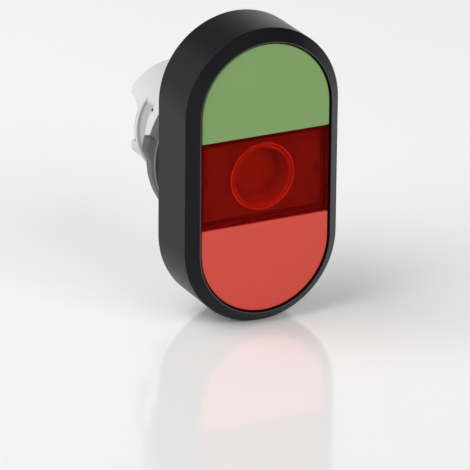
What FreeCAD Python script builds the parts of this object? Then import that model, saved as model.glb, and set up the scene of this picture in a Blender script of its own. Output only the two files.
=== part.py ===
import FreeCAD, Part
import math
import os
import Sketcher

# Illuminated double pushbutton head for a 22 mm panel hole.
# Millimetres.  +Z is up, the button faces look along -Y, +X is to the right seen from the front.
# The origin is on the collar's axis, on the plane of the panel's front face.

doc = FreeCAD.newDocument("double_pushbutton")
Vector = FreeCAD.Vector
Constraint = Sketcher.Constraint

# ---------------------------------------------------------------- sizes
# "fwd_" sizes are distances from the panel plane towards the user.
sheet = doc.addObject("Spreadsheet::Sheet", "Sizes")
SIZES = [
    ("bezel_width", "30"),
    ("bezel_height", "55"),
    ("bezel_radius", "=bezel_width / 2"),
    ("end_centre", "=(bezel_height - bezel_width) / 2"),
    ("gasket_thick", "1.2"),
    ("wall_depth", "11"),
    ("chamfer_width", "2.05"),
    ("chamfer_depth", "1.9"),
    ("rim_radius", "=bezel_radius - chamfer_width"),
    ("aperture_radius", "12.8"),
    ("cavity_radius", "13.4"),
    ("lip_back_step", "0.6"),
    ("fwd_ridge", "=gasket_thick + wall_depth"),
    ("fwd_rim", "=fwd_ridge + chamfer_depth"),
    ("fwd_lip", "=fwd_ridge - lip_back_step"),
    ("latch_deep", "13.9"),
    ("latch_reach", "13.75"),
    ("latch_low", "8"),
    ("latch_high", "11"),
    ("latch_low_gap", "=latch_low - 0.2"),
    ("latch_high_gap", "=latch_high + 0.2"),
    ("fwd_latch", "3"),
    ("latch_thick", "1.2"),
    ("latch_pocket_deep", "1.6"),
    ("overshoot", "1"),
    ("fwd_latch_gap", "=fwd_latch + 0.2"),
    ("face_recess", "0.3"),
    ("fwd_face", "=fwd_rim - face_recess"),
    ("cap_radius", "12.5"),
    ("lens_half_height", "8"),
    ("lens_joint", "0.15"),
    ("cap_base", "=lens_half_height + lens_joint"),
    ("cap_skin", "1.5"),
    ("cap_wall", "1.3"),
    ("skirt_depth", "3.4"),
    ("button_travel", "4"),
    ("fwd_cap_under", "=fwd_face - cap_skin"),
    ("fwd_skirt", "=fwd_face - skirt_depth"),
    ("cap_inner_radius", "=cap_radius - cap_wall"),
    ("cap_inner_base", "=cap_base + cap_wall"),
    ("flange_radius", "13.2"),
    ("fwd_flange", "=fwd_lip - 0.1"),
    ("button_centre", "17"),
    ("stem_radius", "1.5"),
    ("stem_length", "5.4"),
    ("bush_bore", "=stem_radius + 0.1"),
    ("bush_radius", "2.1"),
    ("tower_radius", "2.9"),
    ("floor_thick", "2"),
    ("fwd_floor", "=gasket_thick + floor_thick"),
    ("fwd_tower", "=fwd_cap_under - button_travel - 0.2"),
    ("blind_depth", "0.6"),
    ("chassis_radius", "13.25"),
    ("chassis_inner", "11.65"),
    ("fwd_wall", "6"),
    ("post_inner", "10.2"),
    ("post_outer", "12.4"),
    ("post_half", "6"),
    ("post_pin", "11.3"),
    ("post_pin_radius", "0.9"),
    ("fwd_post", "11"),
    ("carrier_thick", "0.9"),
    ("carrier_half_width", "12.3"),
    ("carrier_half_height", "7.7"),
    ("fwd_carrier", "=fwd_post + carrier_thick"),
    ("lens_seal_thick", "0.3"),
    ("fwd_lens_back", "=fwd_carrier + lens_seal_thick"),
    ("seal_outer_x", "12.2"),
    ("seal_outer_z", "7.7"),
    ("seal_inner_x", "11.3"),
    ("seal_inner_z", "6.8"),
    ("lens_pocket_depth", "0.5"),
    ("fwd_lens_pocket", "=fwd_lens_back + lens_pocket_depth"),
    ("ring_seal_inner", "12.62"),
    ("ring_seal_outer", "13.38"),
    ("ring_groove", "12.6"),
    ("ring_seal_play", "0.05"),
    ("fwd_groove", "5.2"),
    ("groove_width", "1"),
    ("collar_radius", "10.9"),
    ("land_radius", "10.7"),
    ("tail_radius", "10.5"),
    ("thread_end", "9.8"),
    ("collar_bore", "9.7"),
    ("collar_seat", "11"),
    ("collar_flange", "11.9"),
    ("flange_seat", "12"),
    ("fwd_collar_flange", "=gasket_thick + 1"),
    ("inner_seal_pocket", "10.2"),
    ("inner_seal_radius", "10.15"),
    ("inner_seal_hole", "6.32"),
    ("fwd_inner_seal", "2"),
    ("lip_radius", "9.2"),
    ("lip_front", "14"),
    ("lip_rear", "14.8"),
    ("collar_end", "18.1"),
    ("foot_end", "21.8"),
    ("wing_end", "23.7"),
    ("slot_front", "13.4"),
    ("slot_width", "3.8"),
    ("slot_floor", "10.1"),
    ("cutter_inner", "8"),
    ("cutter_outer", "16"),
    ("guide_disc_front", "12.6"),
    ("guide_disc_radius", "9.65"),
    ("guide_disc_hole", "6.33"),
    ("tube_radius", "6.3"),
    ("tube_bore", "5.3"),
    ("tube_flange", "7.6"),
    ("tube_end", "15"),
    ("fwd_tube", "12.5"),
    ("fwd_tube_flange", "=fwd_post - 0.6"),
    ("tube_lip", "4.9"),
    ("fwd_diffuser_back", "8.3"),
    ("fwd_diffuser", "9.5"),
    ("fwd_tube_lip", "7.5"),
    ("diffuser_radius", "5.25"),
    ("carrier_hole", "6.35"),
    ("leg_inner", "6.9"),
    ("leg_outer", "8.6"),
    ("leg_half", "2.8"),
    ("leg_end", "17"),
    ("leg_root", "0.5"),
    ("window_inner", "=leg_inner - 0.1"),
    ("window_outer", "=leg_outer + 0.1"),
    ("window_half", "=leg_half + 0.1"),
    ("plate_half", "9.8"),
    ("plate_base", "9.6"),
    ("plate_top", "18.5"),
    ("plate_notch", "5.2"),
    ("plate_thick", "1.8"),
    ("fwd_plate", "9.9"),
    ("fwd_plate_back", "=fwd_plate - plate_thick"),
    ("boss_across", "7.4"),
    ("boss_up", "15"),
    ("boss_radius", "2"),
    ("boss_pin_radius", "1.1"),
    ("boss_hole_radius", "1.15"),
    ("pad_half", "9.6"),
    ("pad_low", "11.4"),
    ("pad_bar", "12.4"),
    ("pad_high", "15.8"),
    ("pad_notch", "5.4"),
    ("fwd_pad", "4.05"),
    ("spring_radius", "3.7"),
    ("spring_wire", "0.3"),
    ("spring_turns", "5"),
    ("panel_gap", "0.001"),
    ("gasket_radius", "13.8"),
    ("gasket_hole", "11.2"),
    ("washer_radius", "15"),
    ("washer_hole", "11.1"),
    ("washer_thick", "0.6"),
    ("nut_radius", "14.9"),
    ("nut_hole", "11.05"),
    ("nut_thick", "3.5"),
    ("nut_play", "0.02"),
    ("nut_front", "=washer_thick + nut_play"),
    ("nut_rear", "=washer_thick + nut_thick"),
    ("nut_slope", "1.3"),
    ("nut_nose", "14.1"),
    ("nut_shoulder", "=nut_front + nut_slope"),
    ("lug_radius", "16"),
    ("lug_foot", "14.5"),
    ("lug_count", "6"),
]
for row, (name, text) in enumerate(SIZES, start=1):
    sheet.set("A%d" % row, name)
    sheet.set("B%d" % row, text)
    sheet.setAlias("B%d" % row, name)
doc.recompute()


def size(term):
    """Number behind a sheet name; a leading minus turns its sign; plain numbers pass through."""
    if isinstance(term, tuple):
        radius, angle, axis = term
        turn = math.cos(math.radians(angle)) if axis == "x" else math.sin(math.radians(angle))
        return size(radius) * turn
    if isinstance(term, (int, float)):
        return float(term)
    if term.startswith("-"):
        return -float(sheet.get(term[1:]))
    return float(sheet.get(term))


def formula(term):
    """The same term written as a FreeCAD expression on the sheet."""
    if isinstance(term, tuple):
        radius, angle, axis = term
        call = "cos" if axis == "x" else "sin"
        return "%s * %s(%.6f deg)" % (formula(radius), call, angle)
    if term.startswith("-"):
        return "-Sizes." + term[1:]
    return "Sizes." + term


def turned(term, side):
    """side = 1 keeps the term, side = -1 is the half turn about the collar's axis."""
    if side > 0:
        return term
    if isinstance(term, (int, float)):
        return -term
    return term[1:] if term.startswith("-") else "-" + term


def new_body(name):
    body = doc.addObject("PartDesign::Body", name)
    body.Label = name
    body.Placement = FreeCAD.Placement()
    return body


def datum(body, role):
    for item in body.Origin.OriginFeatures:
        if item.Role == role:
            return item
    raise RuntimeError("no " + role)


def new_sketch(body, name, forward=None):
    """Sketch facing the user at a forward distance, or the turning profile when none is given."""
    sketch = body.newObject("Sketcher::SketchObject", name)
    role = "XY_Plane" if forward is None else "XZ_Plane"
    sketch.AttachmentSupport = (datum(body, role), [""])
    sketch.MapMode = "FlatFace"
    if forward is not None:
        sketch.setExpression("AttachmentOffset.Base.z", formula(forward))
    return sketch


def fix(sketch, kind, *args):
    """Dimension bound to the sheet when its last item is a name, plain when it is a number."""
    term = args[-1]
    number = size(term)
    index = sketch.addConstraint(Constraint(kind, *args[:-1], number))
    if not isinstance(term, (int, float)):
        sketch.setExpression("Constraints[%d]" % index, formula(term))


def draw_circle(sketch, radius, across=0.0, up=0.0):
    centre = Vector(size(across), size(up), 0)
    item = sketch.addGeometry(Part.Circle(centre, Vector(0, 0, 1), size(radius)))
    fix(sketch, "Radius", item, radius)
    if size(across) == 0.0 and size(up) == 0.0:
        sketch.addConstraint(Constraint("Coincident", item, 3, -1, 1))
        return
    if size(across) == 0.0:
        sketch.addConstraint(Constraint("PointOnObject", item, 3, -2))
    else:
        fix(sketch, "DistanceX", -1, 1, item, 3, across)
    if size(up) == 0.0:
        sketch.addConstraint(Constraint("PointOnObject", item, 3, -1))
    else:
        fix(sketch, "DistanceY", -1, 1, item, 3, up)


def draw_polygon(sketch, corners):
    spots = [Vector(size(a), size(b), 0) for a, b in corners]
    count = len(spots)
    lines = []
    for k in range(count):
        lines.append(sketch.addGeometry(Part.LineSegment(spots[k], spots[(k + 1) % count])))
    for k in range(count):
        sketch.addConstraint(Constraint("Coincident", lines[k], 2, lines[(k + 1) % count], 1))
    for k, (a, b) in enumerate(corners):
        fix(sketch, "DistanceX", -1, 1, lines[k], 1, a)
        fix(sketch, "DistanceY", -1, 1, lines[k], 1, b)


def draw_box(sketch, left, right, low, high):
    draw_polygon(sketch, [(left, low), (right, low), (right, high), (left, high)])


def draw_stadium(sketch, radius, reach):
    """Two half circles joined by straight sides, long way up."""
    r = size(radius)
    c = size(reach)
    z = Vector(0, 0, 1)
    top = sketch.addGeometry(Part.ArcOfCircle(Part.Circle(Vector(0, c, 0), z, r), 0, math.pi))
    left = sketch.addGeometry(Part.LineSegment(Vector(-r, c, 0), Vector(-r, -c, 0)))
    low = sketch.addGeometry(
        Part.ArcOfCircle(Part.Circle(Vector(0, -c, 0), z, r), math.pi, 2 * math.pi))
    right = sketch.addGeometry(Part.LineSegment(Vector(r, -c, 0), Vector(r, c, 0)))
    for a, b in ((top, left), (left, low), (low, right), (right, top)):
        sketch.addConstraint(Constraint("Tangent", a, 2, b, 1))
    sketch.addConstraint(Constraint("Equal", top, low))
    sketch.addConstraint(Constraint("PointOnObject", top, 3, -2))
    sketch.addConstraint(Constraint("PointOnObject", low, 3, -2))
    fix(sketch, "Radius", top, radius)
    fix(sketch, "DistanceY", -1, 1, top, 3, reach)
    fix(sketch, "DistanceY", low, 3, -1, 1, reach)


def draw_dee(sketch, radius, reach, base, side):
    """One end of the stadium cut off straight at the base line; side 1 is the upper end."""
    r = size(radius)
    c = size(reach) * side
    b = size(base) * side
    z = Vector(0, 0, 1)
    start = 0 if side > 0 else math.pi
    arc = sketch.addGeometry(
        Part.ArcOfCircle(Part.Circle(Vector(0, c, 0), z, r), start, start + math.pi))
    x = r * side
    down = sketch.addGeometry(Part.LineSegment(Vector(-x, c, 0), Vector(-x, b, 0)))
    flat = sketch.addGeometry(Part.LineSegment(Vector(-x, b, 0), Vector(x, b, 0)))
    rise = sketch.addGeometry(Part.LineSegment(Vector(x, b, 0), Vector(x, c, 0)))
    sketch.addConstraint(Constraint("Tangent", arc, 2, down, 1))
    sketch.addConstraint(Constraint("Coincident", down, 2, flat, 1))
    sketch.addConstraint(Constraint("Coincident", flat, 2, rise, 1))
    sketch.addConstraint(Constraint("Tangent", rise, 2, arc, 1))
    sketch.addConstraint(Constraint("Vertical", down))
    sketch.addConstraint(Constraint("Vertical", rise))
    sketch.addConstraint(Constraint("Horizontal", flat))
    sketch.addConstraint(Constraint("PointOnObject", arc, 3, -2))
    fix(sketch, "Radius", arc, radius)
    fix(sketch, "DistanceY", -1, 1, arc, 3, turned(reach, side))
    fix(sketch, "DistanceY", -1, 1, flat, 1, turned(base, side))


def draw_wedge(sketch, inner, outer, first, last):
    """Sector-shaped cutter between two angles, straight sided, outside the wall it cuts."""
    middle = 0.5 * (first + last)
    corners = []
    for radius, angle in ((inner, first), (outer, first), (outer, middle), (outer, last),
                          (inner, last), (inner, middle)):
        corners.append(((radius, angle, "x"), (radius, angle, "y")))
    draw_polygon(sketch, corners)


def pad(body, name, sketch, length):
    """Adds material from the sketch towards the user."""
    item = body.newObject("PartDesign::Pad", name)
    item.Profile = sketch
    item.setExpression("Length", length)
    item.Reversed = False
    sketch.Visibility = False
    return item


def pocket(body, name, sketch, length):
    """Takes material from the sketch towards the panel and beyond."""
    item = body.newObject("PartDesign::Pocket", name)
    item.Profile = sketch
    item.setExpression("Length", length)
    item.Reversed = False
    sketch.Visibility = False
    doc.recompute()
    if item.Shape.Volume >= item.BaseFeature.Shape.Volume - 1e-6:
        raise RuntimeError("%s cut nothing" % name)
    return item


def turn_profile(body, corners):
    """Ring turned about the collar's axis; corners are radius and depth behind the panel."""
    sketch = new_sketch(body, body.Name + "_profile")
    draw_polygon(sketch, corners)
    item = body.newObject("PartDesign::Revolution", body.Name + "_turned")
    item.Profile = sketch
    item.ReferenceAxis = (datum(body, "Y_Axis"), [""])
    item.Angle = 360
    sketch.Visibility = False
    return item


# ---------------------------------------------------------------- front bezel
# Black stadium-shaped shell: straight side wall, wide front chamfer, narrow rim round the opening.
bezel = new_body("front_bezel")
outline = new_sketch(bezel, "bezel_outline", "gasket_thick")
draw_stadium(outline, "bezel_radius", "end_centre")
pad(bezel, "bezel_wall", outline, "Sizes.wall_depth")
ridge = new_sketch(bezel, "bezel_ridge", "fwd_ridge")
draw_stadium(ridge, "bezel_radius", "end_centre")
rim = new_sketch(bezel, "bezel_rim", "fwd_rim")
draw_stadium(rim, "rim_radius", "end_centre")
slope = bezel.newObject("PartDesign::AdditiveLoft", "bezel_chamfer")
slope.Profile = ridge
slope.Sections = [(rim, [""])]
slope.Ruled = True
doc.recompute()
cavity = new_sketch(bezel, "bezel_cavity", "fwd_lip")
draw_stadium(cavity, "cavity_radius", "end_centre")
pocket(bezel, "bezel_hollow", cavity, "Sizes.fwd_lip - Sizes.gasket_thick + Sizes.overshoot")
mouth = new_sketch(bezel, "bezel_mouth", "fwd_rim")
draw_stadium(mouth, "aperture_radius", "end_centre")
pocket(bezel, "bezel_opening", mouth, "Sizes.fwd_rim - Sizes.gasket_thick")
catches = new_sketch(bezel, "latch_recesses", "fwd_latch_gap")
draw_box(catches, "aperture_radius", "latch_deep", "latch_low_gap", "latch_high_gap")
draw_box(catches, "-latch_deep", "-aperture_radius", "latch_low_gap", "latch_high_gap")
draw_box(catches, "aperture_radius", "latch_deep", "-latch_high_gap", "-latch_low_gap")
draw_box(catches, "-latch_deep", "-aperture_radius", "-latch_high_gap", "-latch_low_gap")
pocket(bezel, "latch_pockets", catches, "Sizes.latch_pocket_deep")

# ---------------------------------------------------------------- chassis
# Inner moulding: floor with the collar seat, low outer wall, lens posts and two stem towers.
chassis = new_body("chassis")
floor = new_sketch(chassis, "chassis_floor", "gasket_thick")
draw_stadium(floor, "chassis_radius", "end_centre")
pad(chassis, "floor_plate", floor, "Sizes.floor_thick")
wall = new_sketch(chassis, "chassis_wall", "fwd_floor")
draw_stadium(wall, "chassis_radius", "end_centre")
draw_stadium(wall, "chassis_inner", "end_centre")
pad(chassis, "outer_wall", wall, "Sizes.fwd_wall - Sizes.fwd_floor")
posts = new_sketch(chassis, "lens_posts", "fwd_floor")
draw_box(posts, "post_inner", "post_outer", "-post_half", "post_half")
draw_box(posts, "-post_outer", "-post_inner", "-post_half", "post_half")
pad(chassis, "post_blocks", posts, "Sizes.fwd_post - Sizes.fwd_floor")
pins = new_sketch(chassis, "lens_pins", "fwd_post")
draw_circle(pins, "post_pin_radius", "post_pin", 0.0)
draw_circle(pins, "post_pin_radius", "-post_pin", 0.0)
pad(chassis, "locating_pins", pins, "Sizes.carrier_thick - 0.1")
towers = new_sketch(chassis, "stem_towers", "fwd_floor")
draw_circle(towers, "tower_radius", 0.0, "button_centre")
draw_circle(towers, "tower_radius", 0.0, "-button_centre")
pad(chassis, "tower_posts", towers, "Sizes.fwd_tower - Sizes.fwd_floor")
bores = new_sketch(chassis, "bush_bores", "fwd_tower")
draw_circle(bores, "bush_radius", 0.0, "button_centre")
draw_circle(bores, "bush_radius", 0.0, "-button_centre")
pocket(chassis, "bush_holes", bores, "Sizes.fwd_tower - Sizes.fwd_floor")
blinds = new_sketch(chassis, "stem_blinds", "fwd_floor")
draw_circle(blinds, "bush_bore", 0.0, "button_centre")
draw_circle(blinds, "bush_bore", 0.0, "-button_centre")
pocket(chassis, "stem_wells", blinds, "Sizes.blind_depth")
throat = new_sketch(chassis, "collar_throat", "fwd_floor")
draw_circle(throat, "collar_seat")
pocket(chassis, "collar_hole", throat, "Sizes.floor_thick + Sizes.overshoot")
seat = new_sketch(chassis, "flange_seat_ring", "fwd_collar_flange")
draw_circle(seat, "flange_seat")
pocket(chassis, "flange_recess", seat, "Sizes.fwd_collar_flange")
groove = new_sketch(chassis, "ring_seal_groove", "fwd_groove")
draw_stadium(groove, "latch_deep", "end_centre")
draw_stadium(groove, "ring_groove", "end_centre")
pocket(chassis, "ring_groove_cut", groove, "Sizes.groove_width")
hooks = new_sketch(chassis, "latch_hooks", "gasket_thick")
draw_box(hooks, "aperture_radius", "latch_reach", "latch_low", "latch_high")
draw_box(hooks, "-latch_reach", "-aperture_radius", "latch_low", "latch_high")
draw_box(hooks, "aperture_radius", "latch_reach", "-latch_high", "-latch_low")
draw_box(hooks, "-latch_reach", "-aperture_radius", "-latch_high", "-latch_low")
hooks.setExpression("AttachmentOffset.Base.z", "Sizes.fwd_latch - Sizes.latch_thick")
pad(chassis, "latch_noses", hooks, "Sizes.latch_thick")

# ---------------------------------------------------------------- mounting collar
# Light-grey tube that passes through the panel; wings and bayonet grooves at its far end
# take the holder that clips on from behind.
collar = new_body("mounting_collar")
turn_profile(collar, [
    ("inner_seal_pocket", "-fwd_floor"),
    ("collar_radius", "-fwd_floor"),
    ("collar_radius", "-fwd_collar_flange"),
    ("collar_flange", "-fwd_collar_flange"),
    ("collar_flange", "-gasket_thick"),
    ("collar_radius", "-gasket_thick"),
    ("collar_radius", "thread_end"),
    ("land_radius", "thread_end"),
    ("land_radius", "slot_front"),
    ("tail_radius", "slot_front"),
    ("tail_radius", "wing_end"),
    ("collar_bore", "wing_end"),
    ("collar_bore", "lip_rear"),
    ("lip_radius", "lip_rear"),
    ("lip_radius", "lip_front"),
    ("collar_bore", "lip_front"),
    ("collar_bore", "-fwd_inner_seal"),
    ("inner_seal_pocket", "-fwd_inner_seal"),
])
doc.recompute()
# Degrees round the collar, anticlockwise seen from the front.  All of it repeats after a half turn:
# a long wing, then a short foot in the gap between the wings, with a bayonet groove across them.
HALF_TURNS = (0.0, 180.0)
WING_LAST = 150.0
FOOT_FIRST = 194.0
FOOT_LAST = 213.0
NEXT_WING_FIRST = 242.0
GROOVE_FIRST = 143.0
GROOVE_LAST = 215.0
beyond_feet = new_sketch(collar, "beyond_feet", "-foot_end")
between = new_sketch(collar, "between_wings", "-collar_end")
bayonet = new_sketch(collar, "bayonet_grooves", "-slot_front")
for half in HALF_TURNS:
    draw_wedge(beyond_feet, "cutter_inner", "cutter_outer",
               half + WING_LAST, half + NEXT_WING_FIRST)
    draw_wedge(between, "cutter_inner", "cutter_outer", half + WING_LAST, half + FOOT_FIRST)
    draw_wedge(between, "cutter_inner", "cutter_outer", half + FOOT_LAST, half + NEXT_WING_FIRST)
    draw_wedge(bayonet, "slot_floor", "cutter_outer", half + GROOVE_FIRST, half + GROOVE_LAST)
pocket(collar, "feet_end_cut", beyond_feet,
       "Sizes.wing_end - Sizes.foot_end + Sizes.overshoot")
pocket(collar, "wing_gaps", between, "Sizes.wing_end - Sizes.collar_end + Sizes.overshoot")
pocket(collar, "bayonet_cut", bayonet, "Sizes.slot_width")

# ---------------------------------------------------------------- light guide, diffuser, lens
tube = new_body("light_guide")
turn_profile(tube, [
    ("tube_bore", "-fwd_tube"),
    ("tube_radius", "-fwd_tube"),
    ("tube_radius", "-fwd_post"),
    ("tube_flange", "-fwd_post"),
    ("tube_flange", "-fwd_tube_flange"),
    ("tube_radius", "-fwd_tube_flange"),
    ("tube_radius", "tube_end"),
    ("tube_bore", "tube_end"),
    ("tube_bore", "-fwd_tube_lip"),
    ("tube_lip", "-fwd_tube_lip"),
    ("tube_lip", "-fwd_diffuser_back"),
    ("tube_bore", "-fwd_diffuser_back"),
])

diffuser = new_body("diffuser_disc")
disc = new_sketch(diffuser, "diffuser_outline", "fwd_diffuser_back")
draw_circle(disc, "diffuser_radius")
pad(diffuser, "diffuser_plate", disc, "Sizes.fwd_diffuser - Sizes.fwd_diffuser_back")

carrier = new_body("lens_carrier")
plate = new_sketch(carrier, "carrier_outline", "fwd_post")
draw_box(plate, "-carrier_half_width", "carrier_half_width",
         "-carrier_half_height", "carrier_half_height")
draw_circle(plate, "carrier_hole")
draw_circle(plate, "post_pin_radius", "post_pin", 0.0)
draw_circle(plate, "post_pin_radius", "-post_pin", 0.0)
pad(carrier, "carrier_plate", plate, "Sizes.carrier_thick")

lens_seal = new_body("lens_seal")
frame = new_sketch(lens_seal, "lens_seal_frame", "fwd_carrier")
draw_box(frame, "-seal_outer_x", "seal_outer_x", "-seal_outer_z", "seal_outer_z")
draw_box(frame, "-seal_inner_x", "seal_inner_x", "-seal_inner_z", "seal_inner_z")
pad(lens_seal, "lens_seal_strip", frame, "Sizes.lens_seal_thick")

lens = new_body("red_lens")
block = new_sketch(lens, "lens_outline", "fwd_lens_back")
draw_box(block, "-cap_radius", "cap_radius", "-lens_half_height", "lens_half_height")
pad(lens, "lens_block", block, "Sizes.fwd_face - Sizes.fwd_lens_back")
well = new_sketch(lens, "lens_underside", "fwd_lens_pocket")
draw_box(well, "-seal_inner_x", "seal_inner_x", "-seal_inner_z", "seal_inner_z")
pocket(lens, "lens_hollow", well, "Sizes.lens_pocket_depth")

# ---------------------------------------------------------------- buttons
# The lower button is the upper one after a half turn about the collar's axis.
for colour, side in (("green", 1), ("red", -1)):
    centre = turned("button_centre", side)

    cap = new_body(colour + "_cap")
    face = new_sketch(cap, colour + "_cap_face", "fwd_flange")
    draw_dee(face, "cap_radius", "end_centre", "cap_base", side)
    pad(cap, colour + "_cap_block", face, "Sizes.fwd_face - Sizes.fwd_flange")
    brim = new_sketch(cap, colour + "_cap_brim", "fwd_skirt")
    draw_dee(brim, "flange_radius", "end_centre", "cap_base", side)
    pad(cap, colour + "_cap_flange", brim, "Sizes.fwd_flange - Sizes.fwd_skirt")
    inside = new_sketch(cap, colour + "_cap_inside", "fwd_cap_under")
    draw_dee(inside, "cap_inner_radius", "end_centre", "cap_inner_base", side)
    pocket(cap, colour + "_cap_hollow", inside,
           "Sizes.fwd_cap_under - Sizes.fwd_skirt + Sizes.overshoot")
    stem = new_sketch(cap, colour + "_stem_circle", "fwd_cap_under")
    stem.setExpression("AttachmentOffset.Base.z", "Sizes.fwd_cap_under - Sizes.stem_length")
    draw_circle(stem, "stem_radius", 0.0, centre)
    pad(cap, colour + "_stem", stem, "Sizes.stem_length")
    bosses = new_sketch(cap, colour + "_boss_circles", "fwd_plate")
    draw_circle(bosses, "boss_radius", "boss_across", turned("boss_up", side))
    draw_circle(bosses, "boss_radius", "-boss_across", turned("boss_up", side))
    pad(cap, colour + "_bosses", bosses, "Sizes.fwd_cap_under - Sizes.fwd_plate")
    stakes = new_sketch(cap, colour + "_stake_circles", "fwd_plate_back")
    draw_circle(stakes, "boss_pin_radius", "boss_across", turned("boss_up", side))
    draw_circle(stakes, "boss_pin_radius", "-boss_across", turned("boss_up", side))
    pad(cap, colour + "_stakes", stakes, "Sizes.plate_thick")

    pusher = new_body(colour + "_pusher")
    yoke = new_sketch(pusher, colour + "_yoke", "fwd_plate_back")
    # Outline of the yoke: a plate notched for the spring, with one finger past the light guide.
    draw_polygon(yoke, [
        (turned("-plate_half", side), turned("plate_base", side)),
        (turned("-leg_outer", side), turned("plate_base", side)),
        (turned("-leg_outer", side), turned("-leg_half", side)),
        (turned("-leg_inner", side), turned("-leg_half", side)),
        (turned("-leg_inner", side), turned("plate_base", side)),
        (turned("plate_half", side), turned("plate_base", side)),
        (turned("plate_half", side), turned("plate_top", side)),
        (turned("plate_notch", side), turned("plate_top", side)),
        (turned("plate_notch", side), turned("pad_bar", side)),
        (turned("-plate_notch", side), turned("pad_bar", side)),
        (turned("-plate_notch", side), turned("plate_top", side)),
        (turned("-plate_half", side), turned("plate_top", side)),
    ])
    draw_circle(yoke, "boss_hole_radius", "boss_across", turned("boss_up", side))
    draw_circle(yoke, "boss_hole_radius", "-boss_across", turned("boss_up", side))
    pad(pusher, colour + "_yoke_plate", yoke, "Sizes.plate_thick")
    leg = new_sketch(pusher, colour + "_leg_section", "-leg_end")
    draw_box(leg, turned("-leg_outer", side), turned("-leg_inner", side), "-leg_half", "leg_half")
    pad(pusher, colour + "_leg", leg, "Sizes.leg_end + Sizes.fwd_plate_back + Sizes.leg_root")

    stop = new_body(colour + "_stop_pad")
    rubber = new_sketch(stop, colour + "_stop_outline", "fwd_floor")
    draw_polygon(rubber, [
        ("-pad_half", turned("pad_low", side)),
        ("pad_half", turned("pad_low", side)),
        ("pad_half", turned("pad_high", side)),
        ("pad_notch", turned("pad_high", side)),
        ("pad_notch", turned("pad_bar", side)),
        ("-pad_notch", turned("pad_bar", side)),
        ("-pad_notch", turned("pad_high", side)),
        ("-pad_half", turned("pad_high", side)),
    ])
    pad(stop, colour + "_stop_rubber", rubber, "Sizes.fwd_pad - Sizes.fwd_floor")

    bush = new_body(colour + "_guide_bush")
    sleeve = new_sketch(bush, colour + "_bush_circles", "fwd_floor")
    draw_circle(sleeve, "bush_radius", 0.0, centre)
    draw_circle(sleeve, "bush_bore", 0.0, centre)
    pad(bush, colour + "_bush_sleeve", sleeve, "Sizes.fwd_tower - Sizes.fwd_floor")

# ---------------------------------------------------------------- seals and guide disc
ring_seal = new_body("housing_seal")
cord = new_sketch(ring_seal, "housing_seal_outline", "fwd_groove")
cord.setExpression("AttachmentOffset.Base.z",
                   "Sizes.fwd_groove - Sizes.groove_width + Sizes.ring_seal_play")
draw_stadium(cord, "ring_seal_outer", "end_centre")
draw_stadium(cord, "ring_seal_inner", "end_centre")
pad(ring_seal, "housing_seal_band", cord, "Sizes.groove_width - 2 * Sizes.ring_seal_play")

inner_seal = new_body("inner_seal")
lips = new_sketch(inner_seal, "inner_seal_outline", "fwd_inner_seal")
draw_circle(lips, "inner_seal_radius")
draw_circle(lips, "inner_seal_hole")
draw_box(lips, "window_inner", "window_outer", "-window_half", "window_half")
draw_box(lips, "-window_outer", "-window_inner", "-window_half", "window_half")
pad(inner_seal, "inner_seal_disc", lips, "Sizes.fwd_floor - Sizes.fwd_inner_seal")

guide = new_body("plunger_guide")
holes = new_sketch(guide, "plunger_guide_outline", "-lip_front")
draw_circle(holes, "guide_disc_radius")
draw_circle(holes, "guide_disc_hole")
draw_box(holes, "window_inner", "window_outer", "-window_half", "window_half")
draw_box(holes, "-window_outer", "-window_inner", "-window_half", "window_half")
pad(guide, "plunger_guide_disc", holes, "Sizes.lip_front - Sizes.guide_disc_front")

# ---------------------------------------------------------------- panel side
gasket = new_body("panel_gasket")
turn_profile(gasket, [
    ("gasket_hole", "-gasket_thick"),
    ("gasket_radius", "-gasket_thick"),
    ("gasket_radius", "-panel_gap"),
    ("gasket_hole", "-panel_gap"),
])

washer = new_body("thrust_washer")
turn_profile(washer, [
    ("washer_hole", "panel_gap"),
    ("washer_radius", "panel_gap"),
    ("washer_radius", "washer_thick"),
    ("washer_hole", "washer_thick"),
])

nut = new_body("retaining_nut")
turn_profile(nut, [
    ("nut_hole", "nut_front"),
    ("nut_nose", "nut_front"),
    ("nut_radius", "nut_shoulder"),
    ("nut_radius", "nut_rear"),
    ("nut_hole", "nut_rear"),
])
doc.recompute()
LUG_FOOT_FIRST = 162.5
LUG_TIP_FIRST = 163.0
LUG_TIP_LAST = 172.0
LUG_FOOT_LAST = 179.5
lug = new_sketch(nut, "lug_outline", "-nut_rear")
lug_corners = []
for radius, angle in (
        ("lug_foot", LUG_FOOT_FIRST),
        ("lug_radius", LUG_TIP_FIRST),
        ("lug_radius", LUG_TIP_LAST),
        ("nut_radius", LUG_FOOT_LAST),
        ("lug_foot", LUG_FOOT_LAST)):
    lug_corners.append(((radius, angle, "x"), (radius, angle, "y")))
draw_polygon(lug, lug_corners)
first_lug = pad(nut, "nut_lug", lug, "Sizes.nut_rear - Sizes.nut_shoulder")
doc.recompute()
ring_of_lugs = nut.newObject("PartDesign::PolarPattern", "nut_lugs")
ring_of_lugs.Originals = [first_lug]
ring_of_lugs.Axis = (datum(nut, "Y_Axis"), [""])
ring_of_lugs.Angle = 360
ring_of_lugs.Occurrences = int(size("lug_count"))
nut.Tip = ring_of_lugs

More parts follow.
